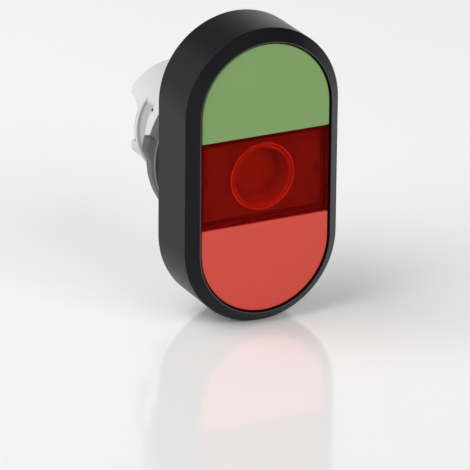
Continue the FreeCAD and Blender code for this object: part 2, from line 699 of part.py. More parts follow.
# ---------------------------------------------------------------- return springs
# Round-wire coil from the floor to the underside of the cap, round the stem tower.
# Its wire runs in short straight lengths, mitred where they meet.
wire_radius = size("spring_wire")
coil_radius = size("spring_radius")
lengths_per_turn = 12
clearance = 0.02
spring_room = size("fwd_cap_under") - size("fwd_floor")
coil_rise = spring_room - 2 * (wire_radius + clearance)
steps = int(size("spring_turns")) * lengths_per_turn
line = []
for step in range(steps + 1):
    angle = 2 * math.pi * step / lengths_per_turn
    line.append(Vector(
        coil_radius * math.cos(angle), coil_radius * math.sin(angle), coil_rise * step / steps))
section = Part.Wire(Part.makeCircle(wire_radius, line[0], line[1] - line[0]))
RIGHT_CORNER = 1
coil = Part.makePolygon(line).makePipeShell([section], True, False, RIGHT_CORNER)
ideal = math.pi * wire_radius ** 2 * Part.makePolygon(line).Length
if abs(coil.Volume / ideal - 1) > 0.01:
    raise RuntimeError("the spring's wire has lost its section")
coil_start = size("fwd_floor") + wire_radius + clearance
for colour, side in (("green", 1), ("red", -1)):
    spring = doc.addObject("Part::Feature", colour + "_return_spring")
    spring.Label = colour + "_return_spring"
    spring.Shape = coil
    spring.Placement = FreeCAD.Placement(
        Vector(0, -coil_start, side * size("button_centre")),
        FreeCAD.Rotation(Vector(1, 0, 0), 90))

doc.recompute()

# ---------------------------------------------------------------- checks and export
NODES = [
    "front_bezel", "chassis", "mounting_collar", "light_guide", "diffuser_disc",
    "lens_carrier", "lens_seal", "red_lens", "green_cap", "green_pusher", "green_stop_pad",
    "green_guide_bush", "red_cap", "red_pusher", "red_stop_pad", "red_guide_bush",
    "housing_seal", "inner_seal", "plunger_guide", "panel_gasket", "thrust_washer",
    "retaining_nut", "green_return_spring", "red_return_spring",
]
for item in doc.Objects:
    if "Invalid" in item.State or "Error" in item.State:
        raise RuntimeError("%s did not compute: %s" % (item.Name, item.State))
os.makedirs("parts", exist_ok=True)
for name in NODES:
    item = doc.getObject(name)
    shape = item.Shape
    if shape.isNull() or not shape.isValid() or len(shape.Solids) != 1:
        raise RuntimeError("%s is not one valid solid" % name)
    box = shape.BoundBox
    print("%-20s %8.1f mm3  x %6.2f %6.2f  y %6.2f %6.2f  z %6.2f %6.2f" % (
        name, shape.Volume, box.XMin, box.XMax, box.YMin, box.YMax, box.ZMin, box.ZMax))
    shape.exportStep(os.path.join("parts", name + ".step"))
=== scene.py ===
import bmesh
import bpy
import numpy as np
from mathutils import Matrix, Vector


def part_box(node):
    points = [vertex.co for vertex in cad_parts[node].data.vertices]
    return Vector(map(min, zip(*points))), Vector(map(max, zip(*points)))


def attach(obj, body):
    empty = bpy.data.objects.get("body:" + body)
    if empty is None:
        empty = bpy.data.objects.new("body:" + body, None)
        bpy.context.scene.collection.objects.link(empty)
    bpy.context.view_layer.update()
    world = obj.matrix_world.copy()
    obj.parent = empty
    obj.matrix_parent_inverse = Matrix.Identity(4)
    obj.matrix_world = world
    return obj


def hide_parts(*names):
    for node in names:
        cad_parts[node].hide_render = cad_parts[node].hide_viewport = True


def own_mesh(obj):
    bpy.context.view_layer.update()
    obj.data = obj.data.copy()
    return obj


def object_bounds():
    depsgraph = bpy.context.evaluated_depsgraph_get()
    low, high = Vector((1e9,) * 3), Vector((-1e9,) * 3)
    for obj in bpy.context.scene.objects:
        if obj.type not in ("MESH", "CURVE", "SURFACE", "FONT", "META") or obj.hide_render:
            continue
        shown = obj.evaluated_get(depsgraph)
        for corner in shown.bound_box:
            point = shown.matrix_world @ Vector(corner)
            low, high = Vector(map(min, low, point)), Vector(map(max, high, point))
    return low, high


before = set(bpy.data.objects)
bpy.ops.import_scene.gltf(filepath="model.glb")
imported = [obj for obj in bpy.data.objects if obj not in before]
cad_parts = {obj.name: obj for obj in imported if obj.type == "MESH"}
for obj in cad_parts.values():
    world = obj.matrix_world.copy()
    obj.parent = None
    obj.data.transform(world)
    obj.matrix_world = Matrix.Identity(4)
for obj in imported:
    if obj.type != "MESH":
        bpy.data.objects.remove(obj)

cad_low, cad_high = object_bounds()
MM = 0.001

# ---- front bezel ------------------------------------------------------------------------------
# Black injection-moulded shell in satin plastic. A straight side wall ends in a wide chamfer and
# a narrow rim round the opening; it snaps over the chassis from the front.


def rounded_outline(corners, radii, steps=6, lead=0.12 * MM):
    """Closed outline with round corners.

    Each corner P has unit directions a and b to its neighbours and half angle h between them.
    The arc's centre is P + (a + b) / |a + b| * r / sin h, it starts at P + a * r / tan h and
    ends at P + b * r / tan h, and its points turn evenly from one to the other. One more point
    stands just before and after each arc, so that the flats beside it shade flat."""
    p = np.asarray(corners, float)
    r = np.broadcast_to(np.asarray(radii, float), len(p))[:, None]
    back, ahead = np.roll(p, 1, 0) - p, np.roll(p, -1, 0) - p
    length = np.linalg.norm(ahead, axis=1, keepdims=True)
    a = back / np.linalg.norm(back, axis=1, keepdims=True)
    b = ahead / length
    half = 0.5 * np.arccos(np.clip((a * b).sum(1, keepdims=True), -1, 1))
    reach = r / np.tan(half)
    middle = (a + b) / np.linalg.norm(a + b, axis=1, keepdims=True)
    centre = p + middle * r / np.sin(half)
    start, end = p + a * reach - centre, p + b * reach - centre
    span = (np.pi - 2 * half)[:, None, :]
    t = np.linspace(0, 1, steps + 1)[None, :, None]
    arc = centre[:, None] + (
        np.sin((1 - t) * span) * start[:, None] + np.sin(t * span) * end[:, None]) / np.sin(span)
    flat = length - reach - np.roll(reach, -1, 0)
    after = np.minimum(lead, 0.3 * flat)
    before = np.roll(after, 1, 0)
    lead_in = (centre + start + a * before)[:, None]
    lead_out = (centre + end + b * after)[:, None]
    return np.concatenate([lead_in, arc, lead_out], 1).reshape(-1, 2)


def carried_round(outline, half_run, turns=96):
    """Outline of (radius, depth) carried round a stadium, or round a circle if half_run is 0.

    At angle t the point is (r cos t, depth, r sin t + c), where c is plus the half run on the
    upper half circle and minus it on the lower one."""
    t = np.linspace(0, 2 * np.pi, turns, endpoint=False)
    shift = np.zeros_like(t)
    if half_run:
        half = np.linspace(0, np.pi, turns // 2 + 1)
        t = np.concatenate([half, half + np.pi])
        shift = half_run * np.repeat([1.0, -1.0], len(half))
    r, y = outline[None, :, 0], outline[None, :, 1]
    t, shift = t[:, None], shift[:, None]
    return np.stack([r * np.cos(t), y + 0 * t, r * np.sin(t) + shift], -1)


def skin(name, grid, close_across=True, smooth=35):
    """Mesh object whose faces join neighbouring points of a grid, closed along its first way.

    Points that fall together are merged, which closes poles, and the faces are turned outwards:
    the sum over faces of corner . (corner x corner) is six times the volume, and is positive."""
    n, m = grid.shape[:2]
    i, j = np.meshgrid(np.arange(n), np.arange(m if close_across else m - 1), indexing="ij")
    i, j = i.ravel(), j.ravel()
    quads = np.stack([i * m + j, (i + 1) % n * m + j, (i + 1) % n * m + (j + 1) % m,
                      i * m + (j + 1) % m], 1)
    points = grid.reshape(-1, 3)
    p, q, s, u = (points[quads[:, k]] for k in range(4))
    volume = (p * np.cross(q, s)).sum() + (p * np.cross(s, u)).sum()
    if volume < 0:
        quads = quads[:, ::-1]
    mesh = bpy.data.meshes.new(name)
    mesh.from_pydata(points.tolist(), [], quads.tolist())
    work = bmesh.new()
    work.from_mesh(mesh)
    bmesh.ops.remove_doubles(work, verts=work.verts, dist=0.0004 * MM)
    bmesh.ops.dissolve_degenerate(work, edges=work.edges, dist=0.0002 * MM)
    work.to_mesh(mesh)
    work.free()
    mesh.shade_smooth()
    mesh.set_sharp_from_angle(angle=np.radians(smooth))
    piece = bpy.data.objects.new(name, mesh)
    bpy.context.scene.collection.objects.link(piece)
    return piece


def node(tree, kind, inputs=(), **settings):
    """Adds a shader node; each (input, value) is set as a constant or joined to a socket."""
    made = tree.nodes.new("ShaderNode" + kind)
    for label, value in settings.items():
        setattr(made, label, value)
    for label, value in inputs:
        if isinstance(value, bpy.types.NodeSocket):
            tree.links.new(value, made.inputs[label])
        else:
            made.inputs[label].default_value = value
    return made


def ramp(tree, value, start, end, first, last):
    """Smooth change from first to last while value runs from start to end."""
    return node(tree, "MapRange", [("Value", value), ("From Min", start), ("From Max", end),
                                   ("To Min", first), ("To Max", last)],
                interpolation_type="SMOOTHSTEP").outputs["Result"]


def mould_texture():
    """Node group for moulded plastic: faint cloudy colour, uneven gloss and fine spark grain.

    Colour is the base times 1 + mottle * (wide noise - 0.5); Roughness is the gloss value plus
    spread * (fine rub marks - 0.5); Height is the grain left by the spark-eroded mould."""
    tree = bpy.data.node_groups.new("mould_texture", "ShaderNodeTree")
    for label, kind in (("Vector", "Vector"), ("Colour", "Color"), ("Mottle", "Float"),
                        ("Gloss", "Float"), ("Gloss Spread", "Float"), ("Grain", "Float")):
        tree.interface.new_socket(name=label, in_out="INPUT", socket_type="NodeSocket" + kind)
    for label, kind in (("Colour", "Color"), ("Roughness", "Float"), ("Height", "Float")):
        tree.interface.new_socket(name=label, in_out="OUTPUT", socket_type="NodeSocket" + kind)
    entry = tree.nodes.new("NodeGroupInput").outputs
    cloud = node(tree, "TexNoise", [("Vector", entry["Vector"]), ("Scale", 260.0),
                                    ("Detail", 4.0)]).outputs["Fac"]
    centred = node(tree, "Math", [(0, cloud), (1, 0.5)], operation="SUBTRACT").outputs[0]
    amount = node(tree, "Math", [(0, centred), (1, entry["Mottle"]), (2, 1.0)],
                  operation="MULTIPLY_ADD").outputs[0]
    tint = node(tree, "VectorMath", [("Vector", entry["Colour"]), ("Scale", amount)],
                operation="SCALE").outputs["Vector"]
    brushed = node(tree, "Mapping", [("Vector", entry["Vector"]), ("Scale", (1.0, 0.35, 2.2)),
                                     ("Rotation", (0.0, 0.5, 0.2))]).outputs["Vector"]
    rub = node(tree, "TexNoise", [("Vector", brushed), ("Scale", 900.0), ("Detail", 5.0),
                                  ("Distortion", 1.5)]).outputs["Fac"]
    rubbed = node(tree, "Math", [(0, rub), (1, 0.5)], operation="SUBTRACT").outputs[0]
    rough = node(tree, "Math", [(0, rubbed), (1, entry["Gloss Spread"]), (2, entry["Gloss"])],
                 operation="MULTIPLY_ADD").outputs[0]
    grain = node(tree, "TexNoise", [("Vector", entry["Vector"]), ("Scale", entry["Grain"]),
                                    ("Detail", 2.0)]).outputs["Fac"]
    leave = tree.nodes.new("NodeGroupOutput")
    for label, value in (("Colour", tint), ("Roughness", rough), ("Height", grain)):
        tree.links.new(value, leave.inputs[label])
    return tree


MOULD = mould_texture()


def moulded(name, colour, rough, mottle=0.12, spread=0.10, grain=9000.0, depth=0.004 * MM,
            specular=0.5):
    """Material for one moulding: the mould group feeds colour, roughness and a fine bump."""
    material = bpy.data.materials.new(name)
    material.use_nodes = True
    tree = material.node_tree
    shader = tree.nodes["Principled BSDF"]
    shader.inputs["Specular IOR Level"].default_value = specular
    spot = node(tree, "TexCoord").outputs["Object"]
    group = node(tree, "Group", node_tree=MOULD)
    for label, value in (("Colour", (*colour, 1.0)), ("Mottle", mottle), ("Gloss", rough),
                         ("Gloss Spread", spread), ("Grain", grain)):
        group.inputs[label].default_value = value
    tree.links.new(spot, group.inputs["Vector"])
    bump = node(tree, "Bump", [("Strength", 1.0), ("Distance", depth),
                               ("Height", group.outputs["Height"])])
    tree.links.new(group.outputs["Colour"], shader.inputs["Base Color"])
    tree.links.new(group.outputs["Roughness"], shader.inputs["Roughness"])
    tree.links.new(bump.outputs["Normal"], shader.inputs["Normal"])
    return material


def blend(material, colour, mask):
    """Mixes a colour over the material's own where the mask, made from Object places, is 1."""
    tree = material.node_tree
    target = tree.nodes["Principled BSDF"].inputs["Base Color"]
    own = target.links[0].from_socket
    mixed = node(tree, "Mix", [(0, mask), (6, own), (7, (*colour, 1.0))], data_type="RGBA")
    tree.links.new(mixed.outputs[2], target)


def dress(piece, material):
    """Gives a piece or a CAD node this one material."""
    piece.data.materials.clear()
    piece.data.materials.append(material)
    return piece


bezel_low, bezel_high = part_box("front_bezel")
bezel_radius = bezel_high.x
bezel_run = bezel_high.z - bezel_radius
bezel_back = bezel_high.y
rim_front = bezel_low.y
chamfer_depth = 1.9 * MM
chamfer_width = 2.05 * MM
ridge = rim_front + chamfer_depth
aperture = 12.8 * MM
cavity = 13.4 * MM
lip_back = ridge + 0.6 * MM
bezel_outline = rounded_outline(
    [(bezel_radius, bezel_back), (bezel_radius, ridge), (bezel_radius - chamfer_width, rim_front),
     (aperture, rim_front), (aperture, lip_back), (cavity, lip_back), (cavity, bezel_back)],
    np.array([0.25, 0.30, 0.05, 0.05, 0.12, 0.20, 0.12]) * MM)
bezel_shell = skin("bezel_shell", carried_round(bezel_outline, bezel_run, turns=128))
black_satin = moulded("black_satin", (0.0070, 0.0074, 0.0084), rough=0.30, mottle=0.25,
                      spread=0.10, grain=7000.0, depth=0.003 * MM, specular=0.10)
tree = black_satin.node_tree
height = node(tree, "SeparateXYZ", [(0, node(tree, "TexCoord").outputs["Object"])]).outputs["Y"]
# The rim's flat front is painted a paler black than the rest: a painted highlight along the
# opening's edge.
blend(black_satin, (0.06, 0.06, 0.063), ramp(tree, height, rim_front + 0.01 * MM,
                                             rim_front + 0.05 * MM, 1.0, 0.0))
dress(bezel_shell, black_satin)
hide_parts("front_bezel")
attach(bezel_shell, "head")

# ---- push-button caps -------------------------------------------------------------------------
# Two flush caps with flat satin faces, green above and red below. Each is a thin-walled moulding
# with a brim under the bezel's lip that holds it in, a guide stem and two bosses for its yoke.
cap_low, cap_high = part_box("green_cap")
cap_radius = 12.5 * MM
cap_face = cap_low.y
cap_base = cap_low.z
brim_front = cap_face + 2.3 * MM
skirt_end = cap_face + 3.4 * MM
cap_under = cap_face + 1.5 * MM
cap_wall = 1.3 * MM
brim_reach = 0.7 * MM
cap_last_ring = 6 * MM
end_centre = bezel_run
# One rounded corner of an outline holds nine points: seven on the arc, one before, one after.
corner_points = 9


def dee_rings(radius, base, corner, depth, side, arc_steps=72, corner_steps=8):
    """Rings of a half-stadium plate, one for each entry of radius, base, corner and depth.

    Every ring is centre + r (cos t, sin t): the big arc has its centre on the bezel's half
    circle and runs from 0 to 180 degrees, and the two small arcs round the corners at the base
    line. side -1 gives the same rings after a half turn about the collar's axis."""
    big = np.linspace(0, np.pi, arc_steps)
    left = np.linspace(np.pi, 1.5 * np.pi, corner_steps)
    right = left + 0.5 * np.pi
    t = np.concatenate([big, left, right])[:, None]
    is_big = (np.arange(len(t)) < arc_steps)[:, None]
    lean = np.repeat([0.0, -1.0, 1.0], [arc_steps, corner_steps, corner_steps])[:, None]
    radius, base, corner, depth = (np.asarray(v, float)[None, :] for v in
                                   (radius, base, corner, depth))
    r = np.where(is_big, radius, corner)
    x = lean * (radius - corner) + r * np.cos(t)
    z = np.where(is_big, end_centre, base + corner) + r * np.sin(t)
    return np.stack([side * x, depth + 0 * t, side * z], -1)


def filled(grid, centre_front, centre_back, steps=3):
    """Adds rings that shrink to a point at both ends of the grid, so that it is closed."""
    f = np.linspace(0, 1, steps + 1)[None, :, None]
    front = centre_front + f[:, :-1] * (grid[:, :1] - centre_front)
    back = centre_back + (1 - f[:, 1:]) * (grid[:, -1:] - centre_back)
    return np.concatenate([front, grid, back], 1)


def cap_shell(name, side):
    """Cap turned from a section of (inset, depth): face edge, side, brim, inner wall, underside.

    The inset moves the arc and the base line inwards alike, but the brim stands out only along
    the arc, so the base line's inset never falls below zero."""
    section = rounded_outline(
        [(cap_last_ring, cap_face), (0, cap_face), (0, brim_front), (-brim_reach, brim_front),
         (-brim_reach, skirt_end), (cap_wall, skirt_end), (cap_wall, cap_under),
         (cap_last_ring, cap_under)],
        np.array([0.1, 0.22, 0.1, 0.12, 0.15, 0.15, 0.3, 0.1]) * MM)
    section = section[corner_points:-corner_points]
    inset, depth = section[:, 0], section[:, 1]
    base_inset = np.maximum(inset, 0)
    corner = np.where(inset < 0.6 * MM, np.maximum(0.25 * MM - base_inset, 0.08 * MM), 0.3 * MM)
    grid = dee_rings(cap_radius - inset, cap_base + base_inset, corner, depth, side)
    middle = side * 0.5 * (cap_base + end_centre + cap_radius)
    grid = filled(grid, np.array([0, cap_face, middle]), np.array([0, cap_under, middle]))
    return skin(name, grid, close_across=False)


def post(name, spots):
    """Round posts with rounded ends, each (x, z, radius, front, back); one closed skin each."""
    meshes = []
    for x, z, radius, front, back in spots:
        edge = min(0.25 * MM, 0.3 * radius)
        outline = rounded_outline([(-radius, front), (radius, front), (radius, back),
                                   (-radius, back)], edge, steps=4)
        keep = outline[outline[:, 0] >= 0]
        grid = carried_round(keep, 0, turns=40) + np.array([x, 0, z])
        grid = filled(grid, np.array([x, front, z]), np.array([x, back, z]), steps=1)
        meshes.append(skin(name + "_part", grid, close_across=False))
    with bpy.context.temp_override(active_object=meshes[0], selected_editable_objects=meshes):
        bpy.ops.object.join()
    meshes[0].name = name
    return meshes[0]


button_centre = 17 * MM
post_root = cap_under - 0.3 * MM
stem_radius, stem_end = 1.5 * MM, cap_high.y
boss_across, boss_up = 7.4 * MM, 15 * MM
boss_radius, boss_end = 2.0 * MM, cap_face + 3.9 * MM
stake_radius, stake_end = 1.1 * MM, cap_face + 5.7 * MM
for colour, side, base_colour in (("green", 1, (0.180, 0.308, 0.100)),
                                  ("red", -1, (0.585, 0.052, 0.033))):
    paint = moulded(colour + "_satin", base_colour, rough=0.42, mottle=0.05, spread=0.08,
                    grain=8000.0, depth=0.004 * MM, specular=0.4)
    shell = cap_shell(colour + "_cap_shell", side)
    dress(shell, paint)
    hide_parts(colour + "_cap")
    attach(shell, colour + "_button")
    posts = post(colour + "_cap_posts", [
        (0, side * button_centre, stem_radius, post_root, stem_end),
        (boss_across, side * boss_up, boss_radius, post_root, boss_end),
        (-boss_across, side * boss_up, boss_radius, post_root, boss_end),
        (boss_across, side * boss_up, stake_radius, post_root, stake_end),
        (-boss_across, side * boss_up, stake_radius, post_root, stake_end)])
    dress(posts, paint)
    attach(posts, colour + "_button")

# ---- pilot lens -------------------------------------------------------------------------------
# Clear red polycarbonate plate between the buttons, polished outside, with fine ribs moulded on
# its underside that spread the lamp's light. It rests on a soft frame on the carrier.
lens_low, lens_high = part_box("red_lens")


def box_rings(half_x, half_z, corner, depth, steps=8):
    """Rings of a rectangle with round corners: each quarter arc is centre + r (cos t, sin t)."""
    t = np.concatenate([np.linspace(0, np.pi / 2, steps) + k * np.pi / 2 for k in range(4)])
    sx = np.repeat([1.0, -1.0, -1.0, 1.0], steps)[:, None]
    sz = np.repeat([1.0, 1.0, -1.0, -1.0], steps)[:, None]
    half_x, half_z, corner, depth = (np.asarray(v, float)[None, :] for v in
                                     (half_x, half_z, corner, depth))
    x = sx * (half_x - corner) + corner * np.cos(t[:, None])
    z = sz * (half_z - corner) + corner * np.sin(t[:, None])
    return np.stack([x, depth + 0 * x, z], -1)


lens_pocket = lens_high.y - 0.5 * MM
lens_wall, lens_last_ring = 1.2 * MM, 5 * MM
lens_section = rounded_outline(
    [(lens_last_ring, lens_low.y), (0, lens_low.y), (0, lens_high.y), (lens_wall, lens_high.y),
     (lens_wall, lens_pocket), (lens_last_ring, lens_pocket)],
    np.array([0.1, 0.18, 0.1, 0.1, 0.15, 0.1]) * MM)[corner_points:-corner_points]
lens_inset = lens_section[:, 0]
lens_corner = np.where(lens_inset < 0.6 * MM, np.maximum(0.4 * MM - lens_inset, 0.1 * MM), 0.3 * MM)
lens_grid = box_rings(lens_high.x - lens_inset, lens_high.z - lens_inset, lens_corner,
                      lens_section[:, 1])
lens_grid = filled(lens_grid, np.array([0, lens_low.y, 0]), np.array([0, lens_pocket, 0]))
pilot_lens = skin("pilot_lens", lens_grid, close_across=False)


def clear_red():
    """Clear red plastic with a little haze. For shadow rays it is a plain red filter, so that the
    lamps reach the parts behind it; ribs across the underside show as a shallow bump."""
    material = bpy.data.materials.new("clear_red")
    material.use_nodes = True
    tree = material.node_tree
    shader = tree.nodes["Principled BSDF"]
    for label, value in (("Base Color", (0.86, 0.14, 0.07, 1.0)), ("Roughness", 0.05),
                         ("IOR", 1.10), ("Transmission Weight", 1.0),
                         ("Specular IOR Level", 0.3)):
        shader.inputs[label].default_value = value
    spot = node(tree, "TexCoord").outputs["Object"]
    ribs = node(tree, "TexWave", [("Vector", spot), ("Scale", 420.0), ("Distortion", 2.5),
                                  ("Detail", 2.0)], wave_type="BANDS", bands_direction="Z")
    bump = node(tree, "Bump", [("Strength", 0.8), ("Distance", 0.045 * MM),
                               ("Height", ribs.outputs["Fac"])])
    tree.links.new(bump.outputs["Normal"], shader.inputs["Normal"])
    haze = node(tree, "BsdfDiffuse", [("Color", (0.20, 0.0003, 0.0002, 1.0))])
    cloudy = node(tree, "MixShader", [(0, 0.16), (1, shader.outputs[0]), (2, haze.outputs[0])])
    through = node(tree, "BsdfTransparent", [("Color", (0.90, 0.14, 0.07, 1.0))])
    shadow = node(tree, "LightPath").outputs["Is Shadow Ray"]
    mix = node(tree, "MixShader", [(0, shadow), (1, cloudy.outputs[0]), (2, through.outputs[0])])
    tree.links.new(mix.outputs[0], tree.nodes["Material Output"].inputs["Surface"])
    return material


dress(pilot_lens, clear_red())
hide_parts("red_lens")
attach(pilot_lens, "head")

# ---- light guide ------------------------------------------------------------------------------
# White moulded tube that carries the lamp's light to the lens. Its stepped rim shows as a ring
# behind the lens, and a lip inside it holds the condenser.
tube_low, tube_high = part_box("light_guide")
disc_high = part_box("diffuser_disc")[1]
tube_radius = 6.3 * MM
tube_bore = 5.3 * MM
inner_rim = tube_low.y + 0.12 * MM
tube_step = tube_low.y + 0.45 * MM
lip_bore = 4.9 * MM
trough_inner, trough_outer, trough_slant = 5.58 * MM, 6.02 * MM, 0.08 * MM
flange_front = tube_low.y + 1.5 * MM
flange_back = tube_low.y + 2.1 * MM
lip_front, lip_rear = disc_high.y, disc_high.y + 0.8 * MM
tube_outline = rounded_outline(
    [(tube_bore, lip_front), (tube_bore, inner_rim), (trough_inner, inner_rim),
     (trough_inner + trough_slant, tube_step), (trough_outer - trough_slant, tube_step),
     (trough_outer, tube_low.y),
     (tube_radius, tube_low.y), (tube_radius, flange_front),
     (tube_high.x, flange_front), (tube_high.x, flange_back), (tube_radius, flange_back),
     (tube_radius, tube_high.y), (tube_bore, tube_high.y), (tube_bore, lip_rear),
     (lip_bore, lip_rear), (lip_bore, lip_front)],
    np.array([0.08, 0.1, 0.1, 0.06, 0.06, 0.1, 0.1, 0.1, 0.12, 0.12, 0.1, 0.18, 0.18, 0.08, 0.1,
              0.1]) * MM)
light_tube = skin("light_tube", carried_round(tube_outline, 0, turns=128))
tube_white = moulded("tube_white", (0.52, 0.52, 0.50), rough=0.22, mottle=0.5)
tree = tube_white.node_tree
spot = node(tree, "TexCoord").outputs["Object"]
place = node(tree, "SeparateXYZ", [(0, spot)]).outputs
# The rim's front edge is painted near white in streaks all round: a painted highlight.
top_edge = ramp(tree, place["Y"], tube_low.y + 0.16 * MM, tube_low.y + 0.03 * MM, 0.0, 1.0)
streaks = node(tree, "TexNoise", [("Vector", spot), ("Scale", 170.0), ("Detail", 3.0),
                                  ("Distortion", 0.8)]).outputs["Fac"]
painted_highlight_streaks = ramp(tree, streaks, 0.36, 0.60, 0.15, 0.9)
blend(tube_white, (0.95, 0.95, 0.92), node(tree, "Math", [(0, top_edge), (1, painted_highlight_streaks)],
                                           operation="MULTIPLY").outputs[0])
dress(light_tube, tube_white)
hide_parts("light_guide")
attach(light_tube, "head")

# ---- condenser --------------------------------------------------------------------------------
# Frosted clear disc with a domed middle, laid on the lip inside the light guide. It spreads the
# lamp's light, and shows as the pupil inside the ring.
disc_radius = disc_high.x - 0.02 * MM
pupil_radius = 4.0 * MM
dome_height, dome_edge = 0.75 * MM, 0.25 * MM
t = np.linspace(0, 2 * np.pi, 96, endpoint=False)[:, None]
s = np.concatenate([np.linspace(0, 1, 14) * pupil_radius, [pupil_radius + 0.1 * MM, disc_radius]])
dome = np.concatenate([s, s[::-1]])[None, :]
rise = dome_height * np.sqrt(np.clip(1 - 0.9 * (s / pupil_radius) ** 2, 0, 1)) + dome_edge
front = disc_high.y - 0.2 * MM - np.where(s > pupil_radius, 0, rise)
dome_depth = np.concatenate([front, disc_high.y + 0 * s])[None, :]
condenser = skin("condenser_disc", np.stack(
    [dome * np.cos(t), dome_depth + 0 * t, dome * np.sin(t)], -1), close_across=False, smooth=50)
frosted = moulded("frosted_clear", (0.30, 0.33, 0.38), rough=0.22, mottle=0.3)
dress(condenser, frosted)
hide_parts("diffuser_disc")
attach(condenser, "head")

# ---- lens carrier and seal --------------------------------------------------------------------
# Grey plate pinned on the chassis posts, with a hole for the light guide, and the soft grey frame
# on it that the lens rests on.
dress(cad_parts["lens_carrier"],
      moulded("carrier_grey", (0.17, 0.17, 0.175), rough=0.45, mottle=1.3))
dress(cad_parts["lens_seal"], moulded("seal_grey", (0.32, 0.32, 0.325), rough=0.7))

# ---- mounting collar --------------------------------------------------------------------------
# Pale grey tube through the panel: flange, fine thread for the nut, plain land, two bayonet
# grooves with a ramp, one detent slit each, then long wings and shorter feet round its far end.
collar_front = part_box("mounting_collar")[0].y
thread_end, groove_front, groove_back = 9.8 * MM, 13.4 * MM, 17.2 * MM
tail_start = 18.1 * MM
crest, land, tail, bore, groove_floor = 10.9 * MM, 10.7 * MM, 10.5 * MM, 9.7 * MM, 10.0 * MM
pitch = 1.5 * MM
thread_height, thread_fade = 0.32 * MM, 1.2 * MM
groove_first, groove_span, ramp_span, ramp_start = 143, 72, 6, 0.3
slit_first, slit_last = 149, 152


def step(value, at, width):
    """0 before the edge and 1 after it, smooth over the given width."""
    x = np.clip((value - at) / width + 0.5, 0, 1)
    return x * x * (3 - 2 * x)


def window(value, low, high, width):
    """1 between two edges and 0 outside them."""
    return step(value, low, width) * (1 - step(value, high, width))


def with_edges(base, edges, width):
    """Sorted sample places: the even ones and a close group across every edge."""
    group = (np.asarray(edges)[:, None] + np.array([-0.5, -0.25, 0.0, 0.25, 0.5]) * width).ravel()
    return np.unique(np.round(np.concatenate([base, group]), 9))


def thread_relief(depth, degrees):
    """Depth of a one-start thread, 0 on its flat crest and 1 on its flat root.

    The phase is depth / pitch - degrees / 360, and the flanks are 2.2 |2 phase - 1| - 0.7,
    held between 0 and 1."""
    phase = (depth / pitch - degrees / 360.0) % 1.0
    return np.clip(2.2 * np.abs(2 * phase - 1) - 0.7, 0, 1)


# The far end over half a turn, in degrees and in millimetres behind the panel's front face: a
# foot with a slanting end from 14 to 31, then a longer wing from 62 to 158, cut back from 142 on.
edge_angle = 0.6
end_angles = np.array([0, 13.7, 14.3, 31, 31.6, 61.7, 62.3, 142, 149.5, 150.1, 157, 158, 180])
end_depths = np.array([18.1, 18.1, 20.0, 22.7, 18.1, 18.1, 23.7, 23.7, 22.6, 21.3, 18.5, 18.1,
                       18.1]) * MM
marks = np.concatenate([end_angles[1:-1], [groove_first + groove_span - 180, groove_first,
                                           slit_first, slit_last]])
turn = with_edges(np.arange(0, 360, 3.0), np.concatenate([marks, marks + 180]), edge_angle)
w = (turn % 180)[:, None]
u = turn[:, None]
edge_length = 0.10 * MM
slit_front, slit_back, slit_floor = groove_front - 0.5 * MM, 14.6 * MM, 9.82 * MM
depth_rows = with_edges(
    np.concatenate([np.arange(0, thread_end, 0.12 * MM), np.linspace(thread_end, tail_start, 15)]),
    [thread_end, slit_front, groove_front, slit_back, groove_back], edge_length)
y = depth_rows[None, :]
thread_zone = window(y, 0.5 * MM, thread_end - 0.7 * MM, thread_fade)
outer = crest - thread_height * thread_relief(y, u) * thread_zone
outer = outer - (crest - land) * step(y, thread_end, edge_length)
outer = outer - (land - tail) * step(y, groove_front, edge_length)
along_groove = (w - groove_first) % 180
in_groove = window(along_groove, 0, groove_span, edge_angle)
in_groove = in_groove * window(y, groove_front, groove_back, edge_length)
ramp_rise = np.clip(along_groove / ramp_span, 0, 1)
outer = outer - (tail - groove_floor) * in_groove * (ramp_start + (1 - ramp_start) * ramp_rise)
slit = window(w, slit_first, slit_last, edge_angle)
slit = slit * window(y, slit_front, slit_back, edge_length)
outer = outer + (slit_floor - outer) * slit
tail_end = np.interp(w, end_angles, end_depths)
edge = 0.18 * MM
tail_rows = np.array([0.0, 0.5, 1.0])[None, :]
tail_depth = tail_start + (tail_end - edge - tail_start) * tail_rows
arc = np.linspace(0, np.pi / 2, 5)[None, :]
outer_edge = (tail - edge + edge * np.cos(arc), tail_end - edge + edge * np.sin(arc))
inner_edge = (bore + edge - edge * np.sin(arc), tail_end - edge + edge * np.cos(arc))
flange_back_y, flange_front_y = -1.2 * MM, -2.2 * MM
flange, seal_seat, seat_depth = 11.9 * MM, 10.2 * MM, -2.0 * MM
lip_at, lip_to, lip_radius = 14.0 * MM, 14.8 * MM, 9.2 * MM
front_section = np.array([
    (seal_seat, seat_depth), (seal_seat, collar_front), (crest, collar_front),
    (crest, flange_front_y), (flange, flange_front_y), (flange, flange_back_y),
    (crest, flange_back_y)])
inner_section = np.array([
    (bore, lip_to + 0.5 * MM), (bore, lip_to), (lip_radius, lip_to), (lip_radius, lip_at),
    (bore, lip_at), (bore, 0.0), (bore, seat_depth)])


def band(radius, depth):
    """Columns of (radius, depth) spread over every angle of the collar."""
    radius = np.broadcast_to(radius, (len(turn), np.shape(depth)[-1]))
    return np.stack([radius, np.broadcast_to(depth, radius.shape)], -1)


